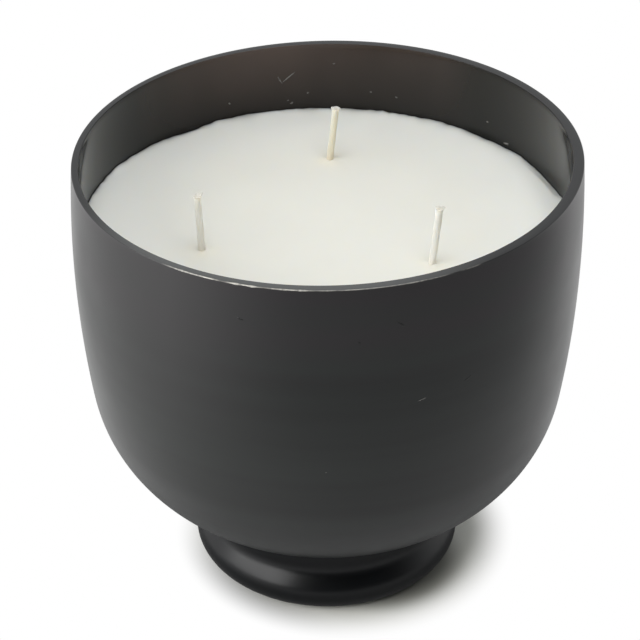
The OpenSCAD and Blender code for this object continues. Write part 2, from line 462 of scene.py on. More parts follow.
class Finish(Net):
    """A node material around its Principled shader."""

    def __init__(self, name):
        self.material = bpy.data.materials.new(name)
        self.material.use_nodes = True
        super().__init__(self.material.node_tree)
        self.shader = self.tree.nodes["Principled BSDF"]

    def axes(self):
        """X, Y and Z of a point of the piece, in metres."""
        return self.node("ShaderNodeSeparateXYZ", {0: self.coords.outputs["Object"]}).outputs

    def noise(self, scale, detail=3.0, stretch=(1.0, 1.0, 1.0), roughness=0.5):
        """Cloudy noise on Object coordinates, which are first multiplied by stretch."""
        spot = {"Vector": self.coords.outputs["Object"], "Scale": stretch}
        placed = self.node("ShaderNodeMapping", spot).outputs["Vector"]
        inputs = {"Vector": placed, "Scale": scale, "Detail": detail, "Roughness": roughness}
        return self.node("ShaderNodeTexNoise", inputs).outputs["Fac"]

    def spread(self, noise, low=0.0, high=1.0):
        """Noise stretched over the range low to high."""
        return self.ranged(noise, NOISE_SPAN, low, high)

    def attribute(self, name):
        """Number that the mesh holds at each point under a name."""
        return self.node("ShaderNodeAttribute", attribute_name=name).outputs["Fac"]

    def bump(self, height, strength, distance):
        """Normals of a surface raised by height times distance, in metres."""
        inputs = {"Height": height, "Strength": strength, "Distance": distance}
        return self.node("ShaderNodeBump", inputs).outputs["Normal"]

    def set(self, **sockets):
        """Sets or links the shader's sockets, each named with _ for a space."""
        for key, value in sockets.items():
            self.feed(self.shader.inputs[key.replace("_", " ")], value)


def times(factor, colour):
    """A colour made brighter or darker, at most white."""
    return tuple(min(1.0, factor * c) for c in colour)


def satin_glass(bowl):
    """Smoked glass: satin outside with faint level bands and a painted sheen high on the left, where the
    light falls, glossy and smoky inside with painted light high up and across the back, ground grey on the
    rim, and rubbed bare along its edge with a painted glint. Spans of across and height are in metres."""
    f = Finish("satin_smoked_glass")
    across, _, height = f.axes()
    body = f.mix(f.eased(height, (0.114, 0.136)), bowl.colour_low, bowl.colour_high)
    bands = f.ranged(f.noise(24.0, 3.0, (0.10, 0.10, 4.0)), (0.35, 0.70), 0.0, 0.95)
    banded = f.mix(bands, body, times(3.2, bowl.colour_low))
    # Painted sheen: lighter high on the left of the outside, where the light from the left falls
    leftward = f.eased(across, (-0.060, -0.003), 1.0, 0.0)
    rightward = f.ranged(across, (-0.074, -0.046), 0.1, 1.0)
    left_sheen = f.product(leftward, rightward, f.ranged(height, (0.085, 0.150)))
    sheened = f.mix(left_sheen, banded, bowl.colour_sheen)
    inside = f.attribute("inside")
    # Painted light and shade inside: lighter high up and across the back, darker down towards the wax
    upper = f.ranged(height, (0.124, 0.151), 0.12, 1.0)
    haze = f.spread(f.noise(30.0), 0.8, 1.0)
    light_streak = f.ramp(f.ranged(across, (-0.08, 0.08)), SMOKE_AND_LIGHT_STREAK)
    smoke_and_light = f.mix(f.product(upper, haze, light_streak), bowl.colour_low, bowl.colour_inside)
    lined = f.mix(inside, sheened, smoke_and_light)
    rim = f.mix(f.attribute("ground"), bowl.colour_cut, bowl.colour_rim)
    ground = f.mix(f.attribute("flat"), lined, rim)
    # Painted glint on the rim's edge, partly rubbed bare glass
    worn_and_glint = f.product(f.attribute("bare_and_glint"), f.ranged(f.noise(900.0), (0.30, 0.60), 0.35, 1.0))
    colour = f.mix(worn_and_glint, ground, bowl.colour_edge_glint)
    cloud = f.spread(f.noise(38.0, 4.0), -0.035, 0.035)
    rough = f.math("ADD", f.ranged(inside, (0.0, 1.0), bowl.satin, bowl.gloss), cloud)
    grain = f.bump(f.noise(2600.0, 2.0), 0.12, 0.00004)
    gloss_tint = f.mix(inside, (1.0, 1.0, 1.0), bowl.colour_gloss)
    f.set(Base_Color=colour, Roughness=rough, IOR=1.5, Specular_Tint=gloss_tint, Normal=grain)
    return f.material


def polished_glass(foot):
    """Fire-polished black glass of the foot, a little uneven from the tool that shaped it."""
    f = Finish("polished_black_glass")
    swirl = f.noise(60.0, 3.0, (1.0, 1.0, 3.0))
    colour = f.mix(f.ranged(swirl, (0.35, 0.7)), foot.colour, times(1.7, foot.colour))
    rough = f.spread(f.noise(45.0, 4.0), foot.roughness - 0.03, foot.roughness + 0.05)
    f.set(Base_Color=colour, Roughness=rough, IOR=1.45, Normal=f.bump(swirl, 0.06, 0.0006))
    return f.material


def poured_wax(wax):
    """Ivory wax with a soft sheen, faint clouds and a yellow stain close to each wick. Painted light makes it
    lighter and cooler close to the wall, and painted shade darkens it where it meets the wall."""
    f = Finish("poured_wax")
    clouded = f.mix(f.spread(f.noise(55.0, 4.0), 0.0, 0.35), wax.colour, times(1.04, wax.colour))
    # Painted light: lighter, cooler wax towards the wall
    base = f.mix(f.attribute("outer"), clouded, wax.colour_outer_light)
    stained = f.mix(f.product(f.attribute("stain"), 0.5), base, wax.colour_stain)
    # Painted shade: the thin mark darkens the wax where it meets the wall
    colour = f.mix(f.attribute("thin"), stained, wax.colour_edge_shade)
    rough = f.spread(f.noise(120.0), 0.42, 0.54)
    f.set(Base_Color=colour, Roughness=rough, Normal=f.bump(f.noise(420.0, 4.0), 0.10, 0.0002))
    f.set(Subsurface_Weight=0.45, Subsurface_Radius=(0.0045, 0.0038, 0.0028), Subsurface_Scale=1.0)
    return f.material


def cloudy_mark(name, scale, dark, pale, dull):
    """Small mark on the glass, cloudy between two colours, and as rough as dull where it is pale."""
    f = Finish(name)
    cloud = f.ranged(f.noise(scale), (0.35, 0.65))
    rough = f.ranged(cloud, (0.0, 1.0), 0.35, dull)
    f.set(Base_Color=f.mix(cloud, dark, pale), Roughness=rough, Normal=f.bump(cloud, 0.2, 0.0001))
    return f.material


def pitted_glass_shade():
    """Dark colour of the small pits, a painted shade for their hollows, dull and cloudy like ground glass."""
    return cloudy_mark("pitted_glass_shade", 1500.0, (0.001, 0.001, 0.001), (0.004, 0.004, 0.004), 0.55)


def thin_wax():
    """Thin dried wax on the dark glass, cloudy where it is thicker."""
    return cloudy_mark("thin_wax", 900.0, (0.075, 0.072, 0.066), (0.165, 0.160, 0.148), 0.6)


def waxed_cotton(wick, wax_h):
    """Braided cotton with fibres along the strands, cream and lighter close above the wax, where painted
    light lifts the shade at the wick's foot, and duller where it is cut.
    """
    f = Finish("waxed_cotton")
    fibres = f.noise(900.0, 5.0, (1.0, 1.0, 0.16), 0.65)
    body = f.mix(f.spread(fibres), times(0.86, wick.colour), wick.colour)
    waxed = f.attribute("waxed")
    # Each wick takes its share of the darker cotton colour
    upper = f.mix(waxed, body, wick.colour_darker_cotton)
    # Painted light: the cotton is lighter close above the wax, which lifts the shade where the wick meets it
    base = f.mix(waxed, wick.colour_soaked_and_lit, wick.colour_darker_cotton)
    free = f.eased(f.axes()["Z"], (wax_h + 0.0005, wax_h + 0.0050))
    colour = f.mix(f.attribute("cut"), f.mix(free, base, upper), wick.colour_cut)
    f.set(Base_Color=colour, Roughness=f.spread(fibres, 0.62, 0.86))
    f.set(Normal=f.bump(fibres, 0.5, 0.00012), Specular_IOR_Level=0.15)
    f.set(Subsurface_Weight=free, Subsurface_Radius=(0.0070, 0.0062, 0.0050), Subsurface_Scale=1.0)
    return f.material


def tinned_steel():
    """Stamped sheet steel with a thin coat of tin, brushed by handling."""
    f = Finish("tinned_steel")
    brushed = f.noise(500.0, 4.0, (1.0, 0.15, 1.0))
    colour = f.mix(f.spread(brushed), (0.52, 0.52, 0.50), (0.70, 0.70, 0.68))
    f.set(Base_Color=colour, Metallic=1.0, Roughness=f.spread(brushed, 0.28, 0.46))
    f.set(Normal=f.bump(brushed, 0.15, 0.00005))
    return f.material


def hot_glue():
    """Amber hot-melt glue with a dull skin."""
    f = Finish("hot_glue")
    lumps = f.noise(260.0)
    colour = f.mix(f.spread(lumps), (0.62, 0.52, 0.30), (0.74, 0.66, 0.44))
    f.set(Base_Color=colour, Roughness=f.spread(lumps, 0.35, 0.55), Normal=f.bump(lumps, 0.3, 0.0002))
    f.set(Subsurface_Weight=0.2, Subsurface_Radius=(0.002, 0.0015, 0.0008), Subsurface_Scale=1.0)
    return f.material


# Pieces

class CANDLE_OT_bowl(Operator):
    """Turns the satin glass bowl, with its ground rim and its rubbed edge that carries a painted glint"""

    bl_idname = "candle.bowl"
    bl_label = "Glass bowl"

    # Points round the axis, and along the floor, the belly and the wall
    sides = 320
    counts = (10, 60, 56)
    # Stretches of the rim's outer edge that are rubbed bare and carry a painted glint of the light from the
    # left, in degrees from +X: start, end and strength
    rubbed = ((-127.0, -111.0, 1.0), (-115.0, -101.0, 0.65), (-105.0, -91.0, 0.9), (-94.0, -63.0, 0.42))
    # Stretches where small flakes have come off the edge
    flaked = ((-126.0, -118.0, 0.5), (-112.0, -104.0, 1.0), (-101.5, -94.0, 0.8), (-62.0, -56.0, 0.25))
    # Bearing of the middle of the stretch where the flat of the rim is rubbed grey
    ground_turn = math.radians(-105.0)
    # Points of the rim's outer edge, inwards and down from its corner as shares of the chip
    edge = ((0.0, 1.15), (0.0, 1.10), (0.12, 0.88), (0.55, 0.45), (1.0, 0.03))
    # Bends of the points on the rim's rounded inner edge, in degrees
    bend = (10.0, 28.0, 46.0, 64.0, 82.0)
    # Height of the rim's own rows in bevels
    rim_reach = 3.2

    def windows(self, turn, stretches, soft):
        """The strongest of a row of windows round the axis, each with ends that fade over soft degrees."""
        degrees = np.degrees(np.arctan2(np.sin(turn), np.cos(turn)))
        total = np.zeros(turn.shape)
        for start, stop, strength in stretches:
            window = smooth(start, start + soft, degrees) * (1.0 - smooth(stop - soft, stop, degrees))
            total = np.maximum(total, strength * window)
        return total

    def execute(self, context):
        """Outer section, rim and inner section are one profile. The outer bevel widens where it is rubbed.
        The hand-cut rim slopes, z + slope x, and its inside lies off centre, x - drift."""
        bowl = settings().bowl
        bevel, top = bowl.rim_bevel, bowl.rim_h
        outer = cup_path(bowl, 0.0, 0.0, top - bevel, self.counts)
        inner = cup_path(bowl, bowl.wall, bowl.floor_t, top - bevel, self.counts)[::-1]
        out_r, in_r = outer[-1, 0], inner[0, 0]
        turn = around(self.sides)
        flakes = self.windows(turn, self.flaked, soft=2.0)
        # The rubbed stretches also carry the painted glint
        bare_and_glint = self.windows(turn, self.rubbed, soft=4.0) * (0.8 + 0.2 * ring_noise(turn, (30, 80), 11))
        bare_and_glint = np.clip(np.maximum(bare_and_glint, 0.9 * flakes), 0.0, 1.0)
        flake_noise = np.clip(ring_noise(turn, (60, 155), 5), -0.4, 1.6)
        chip = bevel * (0.42 + 0.12 * bare_and_glint + 0.28 * flakes * (0.4 + flake_noise))
        beside = np.cos(turn)**2 * (1.0 + 0.15 * np.cos(turn))
        inner_bevel = bevel * (0.3 + 0.3 * beside + 0.05 * ring_noise(turn, (5, 24), 8))
        edge_in, edge_down = np.array(self.edge).T[..., None]
        bend = np.radians(self.bend)[:, None]
        flat_r = [
            out_r - chip - 0.1 * bevel,
            np.full(self.sides, (out_r + in_r) / 2),
            in_r + inner_bevel + 0.06 * bevel,
        ]
        rim_r = np.concatenate([out_r - edge_in * chip, flat_r, in_r + inner_bevel * (1.0 - np.sin(bend))])
        flat_z = np.full((len(flat_r), self.sides), top)
        rim_z = np.concatenate([top - edge_down * chip, flat_z, top - inner_bevel * (1.0 - np.cos(bend))])
        rim_z[0] -= 0.1 * bevel
        outer = outer[outer[:, 1] < top - self.rim_reach * bevel]
        inner = inner[inner[:, 1] < top - self.rim_reach * bevel]
        spread = np.ones((1, self.sides))
        radius = np.concatenate([outer[1:, :1] * spread, rim_r, inner[:-1, :1] * spread])
        height = np.concatenate([outer[1:, 1:] * spread, rim_z, inner[:-1, 1:] * spread])
        row = np.arange(len(radius))[:, None]
        edge_row = len(outer) - 1
        flat_row = edge_row + len(self.edge) - 1
        inside_row = edge_row + len(rim_r) - len(bend)
        marks = {
            "inside": 1.0 * (row >= inside_row),
            "bare_and_glint": bare_and_glint * ((row > edge_row) & (row <= flat_row)),
            "flat": 1.0 * ((row >= flat_row) & (row < inside_row)),
            "ground": smooth(0.55, 0.97, np.cos(turn - self.ground_turn))[None, :],
        }
        grid = turned_grid(radius, height, self.sides)
        grid[..., 0] -= drift(bowl, grid[..., 2]) * (row >= inside_row - 1)
        grid[..., 2] += tilt(bowl, grid[..., 0], grid[..., 2])
        start = (0.0, 0.0, bowl.underside_h)
        stop = (0.0, 0.0, bowl.underside_h + bowl.floor_t)
        mesh = closed_mesh("satin_bowl", start, grid, stop, marks)
        place("satin_bowl", mesh, satin_glass(bowl), ["glass_bowl"], sharp=28)
        return {"FINISHED"}


class CANDLE_OT_foot(Operator):
    """Turns the rounded glass foot with its drawn-in waist"""

    bl_idname = "candle.foot"
    bl_label = "Glass foot"

    sides = 256

    def section(self, bowl, foot):
        """Hollow arc, standing face, rounded edge, shoulder arc on the same tangent, a parabola that eases
        the neck's crease, waist arc, then the bowl's own underside back to the axis."""
        half = foot.hollow_d / 2
        dish_r = (half**2 + foot.hollow_depth**2) / (2.0 * foot.hollow_depth)
        dish_turn = math.asin(half / dish_r)
        dish = arc((0.0, foot.hollow_depth - dish_r), dish_r, math.pi / 2, math.pi / 2 - dish_turn, 14)
        base_r = foot.width / 2 - foot.base_in
        standing = line((half, 0.0), (base_r, 0.0), 6)
        edge_mid = (foot.width / 2 - foot.edge_r, math.sqrt(foot.edge_r**2 - (foot.edge_r - foot.base_in)**2))
        edge = arc(edge_mid, foot.edge_r, -math.asin(edge_mid[1] / foot.edge_r), foot.shoulder_turn, 44)
        tangent = np.array([math.cos(foot.shoulder_turn), math.sin(foot.shoulder_turn)])
        shoulder_mid = np.array(edge_mid) + (foot.edge_r - foot.shoulder_r) * tangent
        neck_r = foot.width / 2 - foot.neck_in
        neck_turn = math.acos((neck_r - shoulder_mid[0]) / foot.shoulder_r)
        shoulder = arc(shoulder_mid, foot.shoulder_r, foot.shoulder_turn, neck_turn, 20)
        neck_h = shoulder[-1, 1]
        waist = arc((neck_r + foot.waist_r, neck_h), foot.waist_r, math.pi, math.pi * 0.75, 140)
        waist = waist[waist[:, 1] < underside(bowl, waist[:, 0])]
        neck = shoulder[-1]
        shoulder = shoulder[np.linalg.norm(shoulder - neck, axis=1) > foot.neck_ease]
        waist = waist[np.linalg.norm(waist - neck, axis=1) > foot.neck_ease]
        t = np.linspace(0.0, 1.0, 14)[1:-1, None]
        eased = (1.0 - t)**2 * shoulder[-1] + 2.0 * t * (1.0 - t) * neck + t**2 * waist[0]
        seat_r = np.linspace(waist[-1, 0], 0.0, 16)[:-1]
        seat = np.column_stack([seat_r, underside(bowl, seat_r)])
        return np.concatenate([dish[1:-1], standing, edge, shoulder[1:], eased, waist[::2], seat])

    def execute(self, context):
        """The section is turned round the axis."""
        bowl, foot = settings().bowl, settings().foot
        section = self.section(bowl, foot)
        grid = turned_grid(section[:, 0], section[:, 1], self.sides)
        start, stop = (0.0, 0.0, foot.hollow_depth), (0.0, 0.0, bowl.underside_h)
        mesh = closed_mesh("polished_foot", start, grid, stop)
        place("polished_foot", mesh, polished_glass(foot), ["glass_foot"], sharp=65)
        return {"FINISHED"}


class CANDLE_OT_wax(Operator):
    """Pours the wax, with its wandering edge and the collars that climb the wicks"""

    bl_idname = "candle.wax"
    bl_label = "Wax"

    # Points round the axis, and along the floor, the belly and the wall
    sides = 420
    counts = (8, 26, 14)
    # Rings of the top from the edge inwards: share of the radius at both ends, and count
    rings = ((0.997, 0.95, 14), (0.95, 0.68, 24), (0.68, 0.42, 64))
    inmost_rings = (0.42, 0.02, 26)
    # Places where the wax shrank down the wall, or rose where the depth is negative: bearing and half width
    # in degrees, and depth in metres
    pulled = ((154.0, 12.0, -0.00035), (126.5, 5.5, 0.00085), (48.0, 6.0, 0.00060), (22.0, 9.0, 0.00090))
    # Depths below the top over which the side comes to the wall and follows the lip
    side_reach = 0.012
    lip_reach = 0.008
    # Heights of the long and the short waves on the top
    swell_h = 0.00010
    ripple_h = 0.00006
    # Distances over which the lip, a collar and a stain fade out
    wall_reach = 0.004
    collar_reach = 0.0016
    stain_reach = 0.0052
    # Distances from the axis between which the wax takes its outer colour, a painted light that makes it
    # lighter and cooler towards the wall
    outer_light_span = (0.040, 0.074)

    def execute(self, context):
        """The top is a height over rings of growing radius: long waves, a lip that wanders along the wall and
        for each wick a collar exp(-distance). The side and underside follow the inside of the bowl. The wax
        touches the wall at its edge, where painted shade darkens it by exp(-distance) from the wall."""
        bowl, wax = settings().bowl, settings().wax
        top = wax.surface_h
        turn = around(self.sides)
        body = cup_path(bowl, bowl.wall + wax.gap, bowl.floor_t, top - wax.edge, self.counts)
        edge_r = np.full(self.sides, body[-1, 0] + 1.15 * wax.gap)
        edge_shade_wave = 0.60 * ring_noise(turn, (6, 24), 21) + 0.40 * ring_noise(turn, (25, 64), 22)
        waves = 0.24 * ring_noise(turn, (6, 24), 931) + 0.22 * ring_noise(turn, (25, 64), 1441)
        ragged = 0.16 * ring_noise(turn, (65, 140), 27)
        climb = wax.waver * (0.1 + waves + ragged)
        for bearing, half, depth in self.pulled:
            climb = climb - depth * np.exp(-((turn - math.radians(bearing)) / math.radians(half)) ** 2)
        reach = smooth(top - self.side_reach, top, body[:, 1])[:, None]
        side_r = body[:, :1] * (1.0 - reach) + edge_r * reach
        round_turn = np.linspace(0.0, math.pi / 2, 7)[1:, None]
        lip_r = edge_r - wax.edge * (1.0 - np.cos(round_turn))
        lip_h = top - wax.edge + wax.edge * np.sin(round_turn)
        share_in = [np.linspace(*ring, endpoint=False) for ring in self.rings]
        share_in = np.concatenate([*share_in, np.linspace(*self.inmost_rings)])[:, None]
        radius = np.concatenate([side_r[1:], lip_r, (edge_r - wax.edge) * share_in])
        height = np.concatenate([body[1:, 1:], lip_h, np.full(share_in.shape, top)])
        grid = turned_grid(radius, height, self.sides)
        x, y, z = grid[..., 0], grid[..., 1], grid[..., 2]
        on_top = smooth(top - 0.5 * wax.edge, top, z)
        reach_up = smooth(top - self.lip_reach, top - wax.edge, z)
        lift = self.swell_h * np.sin(75.0 * x + 1.1) * np.cos(63.0 * y - 0.4)
        lift = lift + self.ripple_h * np.sin(150.0 * y + 95.0 * x)
        stain = np.zeros(x.shape)
        for side_name in WICK_SIDES:
            lower, upper, wick_r = wick_axis(side_name)
            along = (top - lower[2]) / (upper[2] - lower[2])
            foot_point = lower + along * (upper - lower)
            away = np.hypot(x - foot_point[0], y - foot_point[1])
            bearing = np.arctan2(y - foot_point[1], x - foot_point[0])
            uneven = 1.0 + 0.35 * np.sin(2.0 * bearing + 1.3) + 0.25 * np.sin(5.0 * bearing)
            climbed = np.exp(-np.maximum(0.0, away - wick_r) / self.collar_reach)
            lift = lift + wax.collar_h * uneven * climbed
            stain = np.maximum(stain, np.exp(-((away / self.stain_reach) ** 2)))
        near_wall = smooth(edge_r - self.wall_reach, edge_r - wax.edge, np.hypot(x, y)) ** 2
        grid[..., 0] -= drift(bowl, z)
        grid[..., 2] += lift * on_top + climb * near_wall * reach_up
        from_axis = np.hypot(grid[..., 0], grid[..., 1])
        beside = smooth(0.6, 1.0, np.abs(np.cos(turn)))
        # Painted shade where the wax meets the wall, fading by exp(-distance) from it
        edge_shade_reach = wax.edge_shade_reach * (1.0 + 0.35 * np.clip(edge_shade_wave, -1.2, 1.8)) * (1.0 - 0.6 * beside)
        thin = np.exp(-np.maximum(0.0, edge_r - from_axis) / edge_shade_reach)
        # The outer mark is painted light, and the thin mark painted shade
        marks = {"stain": stain * on_top, "outer": smooth(*self.outer_light_span, from_axis), "thin": thin}
        mesh = closed_mesh("poured_wax", (0.0, 0.0, body[0, 1]), grid, (0.0, 0.0, top), marks)
        place("poured_wax", mesh, poured_wax(wax), ["wax_fill"], sharp=50)
        return {"FINISHED"}


class CANDLE_OT_wicks(Operator):
    """Braids the cotton wicks, each with its cut and slightly opened tip"""

    bl_idname = "candle.wicks"
    bl_label = "Wicks"

    # Points round a wick and along it
    sides = 48
    rows = 420
    # Cut tips, in shares of the radius: slope of the cut, opening, size of the tuft, of the bumps, and trim
    tips = {
        "left": (0.28, 0.22, 0.42, 0.12, 0.40),
        "back": (0.0, 0.30, 0.08, 0.05, 0.80),
        "right": (-0.10, 0.14, 0.50, 0.10, 0.40),
    }
    # Bearing of the tuft in radians, rings of the cut as shares of the radius, and the dip of its middle
    tuft_turn = 0.35
    cap_rings = (0.86, 0.66, 0.42, 0.18)
    cap_dip = 0.2
    # Share of the darker cotton colour on each wick, most on the back one
    waxed = {"left": 0.15, "back": 1.0, "right": 0.0}

    def execute(self, context):
        """A wick is a ring carried along its axis. Its radius is the CAD radius times fullness + braid, where
        the braid is the larger of two sets of strands that turn against each other. The tip opens, most on
        the side where a tuft of fibres is left, and its cut slants up to that side."""
        wick = settings().wick
        material = waxed_cotton(wick, settings().wax.surface_h)
        turn = around(self.sides)[None, :]
        for number, side_name in enumerate(WICK_SIDES):
            lower, upper, wick_r = wick_axis(side_name)
            slope, flare, tuft, bumps, trim = self.tips[side_name]
            axis = upper - lower
            span = np.linalg.norm(axis)
            axis = axis / span
            across = np.cross((0.0, 1.0, 0.0), axis)
            across = across / np.linalg.norm(across)
            ahead = np.cross(axis, across)
            along = np.linspace(0.0, span, self.rows)[:, None]
            twist = 2.0 * np.pi * along / wick.braid_pitch
            over = np.cos(wick.strands * turn + twist)
            under = np.cos(wick.strands * turn - twist)
            braid = wick.braid_depth * (np.maximum(over, under) - 0.55)
            open_tip = smooth(span - wick.flare_length, span, along)
            fray = ring_noise(turn[0], (2, 7), 31 + number)[None, :]
            tuft_side = np.maximum(0.0, np.cos(turn - self.tuft_turn)) ** 4
            opening = flare * (1.0 + 0.25 * fray) + tuft * tuft_side
            radius = wick_r * (wick.fullness + braid + opening * open_tip**2)
            slant = wick_r * (slope * np.cos(turn) + bumps * fray + 0.6 * tuft * tuft_side)
            reach = along + open_tip * (slant - trim * wick_r)
            cap_share = np.array(self.cap_rings)[:, None]
            cap_r = radius[-1:] * cap_share
            cap_mid = span - (trim + self.cap_dip) * wick_r
            cap_reach = reach[-1:] * cap_share + cap_mid * (1.0 - cap_share)
            all_r = np.concatenate([radius, cap_r])
            all_reach = np.concatenate([reach, cap_reach])
            cut = np.concatenate([0.55 * open_tip * np.ones(turn.shape), np.ones(cap_r.shape)])
            grid = (
                lower
                + all_reach[..., None] * axis
                + (all_r * np.cos(turn))[..., None] * across
                + (all_r * np.sin(turn))[..., None] * ahead
            )
            stop = lower + cap_mid * axis
            name = "cotton_wick_" + side_name
            mesh = closed_mesh(name, lower, grid, stop, {"cut": cut, "waxed": self.waxed[side_name]})
            place(name, mesh, material, ["wick_" + side_name])
        return {"FINISHED"}


class CANDLE_OT_marks(Operator):
    """Leaves the small marks of dried wax on the wall and the pits in its outside"""

    bl_idname = "candle.marks"
    bl_label = "Marks on the wall"

    sides = 28
    # Rings of a mark from its back to its top, as shares of its outline
    rings = (0.5, 1.0, 0.85, 0.6, 0.3)
    raised_h = 0.00012
    sunk_h = 0.00004
    # Marks: bearing in degrees from +X and height in millimetres of each end, then half width in millimetres
    wax_inside = (
        ((102.2, 138.6), (101.2, 136.1), 0.28),
        ((101.2, 136.1), (97.6, 140.0), 0.24),
        ((115.3, 131.4), (115.1, 131.2), 0.32),
        ((98.9, 127.7), (98.7, 127.9), 0.40),
        ((99.8, 128.9), (99.6, 129.0), 0.25),
        ((94.7, 131.3), (94.5, 131.5), 0.30),
        ((88.0, 142.6), (87.6, 142.7), 0.25),
        ((78.6, 132.1), (78.4, 132.1), 0.28),
        ((72.0, 131.2), (71.7, 131.0), 0.28),
        ((45.8, 130.9), (45.5, 130.9), 0.28),
        ((39.9, 125.9), (38.6, 126.2), 0.45),
    )
    wax_outside = (
        ((-70.8, 109.5), (-69.1, 110.2), 0.09),
        ((-90.5, 85.7), (-90.2, 85.7), 0.10),
    )
    # Pits: real marks, drawn as raised drops whose dark colour is painted shade for their hollows
    pits_outside = (
        ((-108.7, 139.1), (-107.8, 138.9), 0.42),
        ((-75.6, 138.2), (-74.4, 136.7), 0.36),
        ((-83.7, 132.9), (-83.5, 132.7), 0.36),
        ((-60.0, 112.5), (-58.5, 113.4), 0.36),
    )

    def drops(self, bowl, marks, inset, seed):
        """A mark is a flat drop: rings about the line between its ends, longer by its half width, each raised
        off the wall by 1 less the square of its share of the outline. Its back lies just under the glass.
        An inset of 0 puts the marks on the outside."""
        raised = -1.0 if inset > 0.0 else 1.0
        wall_r = bowl.wall_arc_r - inset
        turn = around(self.sides)[None, :]
        ring = np.array(self.rings)[:, None]
        parts = []
        for number, (first, last, half) in enumerate(marks):
            half = half / 1000.0
            middle_turn = math.radians((first[0] + last[0]) / 2)
            middle_h = (first[1] + last[1]) / 2000.0
            run_across = math.radians(last[0] - first[0]) * bowl.widest_d / 2
            run = np.array([run_across, (last[1] - first[1]) / 1000.0])
            span = np.linalg.norm(run)
            run = run / span
            ragged = 1.0 + 0.18 * ring_noise(turn[0], (2, 6), seed + number)[None, :]
            ahead = ring * ragged * (half + span / 2) * np.cos(turn)
            beside = ring * ragged * half * np.sin(turn)
            shift = ahead * run[0] - beside * run[1]
            height = middle_h + ahead * run[1] + beside * run[0]
            off = self.raised_h * (1.0 - ring**2)
            off[:2] = -self.sunk_h
            bulge = np.sqrt(wall_r**2 - (height - bowl.widest_h)**2)
            radius = bowl.widest_d / 2 - bowl.wall_arc_r + bulge + raised * off
            bearing = middle_turn + shift / (bowl.widest_d / 2)
            x = radius * np.cos(bearing)
            if inset > 0.0:
                x = x - drift(bowl, height)
            y = radius * np.sin(bearing)
            grid = np.stack([x, y, height + tilt(bowl, x, height)], axis=-1)
            if inset > 0.0:
                grid = grid[:, ::-1]
            parts.append(closed_parts(grid[0].mean(axis=0), grid, grid[-1].mean(axis=0)))
        return parts

    def join(self, name, parts):
        """One mesh of all parts, each with its corner numbers moved past the points before it."""
        points, quads, fans = zip(*parts)
        starts = np.cumsum([0] + [len(part) for part in points])
        moved = [(part + start).tolist() for kind in (quads, fans) for part, start in zip(kind, starts)]
        return new_mesh(name, np.concatenate(points).tolist(), sum(moved, []))

    def execute(self, context):
        """Wax marks are one mesh, and pits another."""
        bowl = settings().bowl
        wax = self.drops(bowl, self.wax_inside, bowl.wall, 51) + self.drops(bowl, self.wax_outside, 0.0, 71)
        place("wax_marks", self.join("wax_marks", wax), thin_wax(), [])
        pits = self.drops(bowl, self.pits_outside, 0.0, 81)
        place("glass_pits", self.join("glass_pits", pits), pitted_glass_shade(), [])
        return {"FINISHED"}


class CANDLE_OT_tabs(Operator):
    """Gives the tabs and glue pads in the wax their finishes"""

    bl_idname = "candle.tabs"
    bl_label = "Wick tabs and glue"

    def execute(self, context):
        """The CAD shapes stay, and only their materials change."""
        for prefix, material in (("tab_", tinned_steel()), ("glue_", hot_glue())):
            for side_name in WICK_SIDES:
                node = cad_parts[prefix + side_name]
                node.data.materials.clear()
                node.data.materials.append(material)
        return {"FINISHED"}


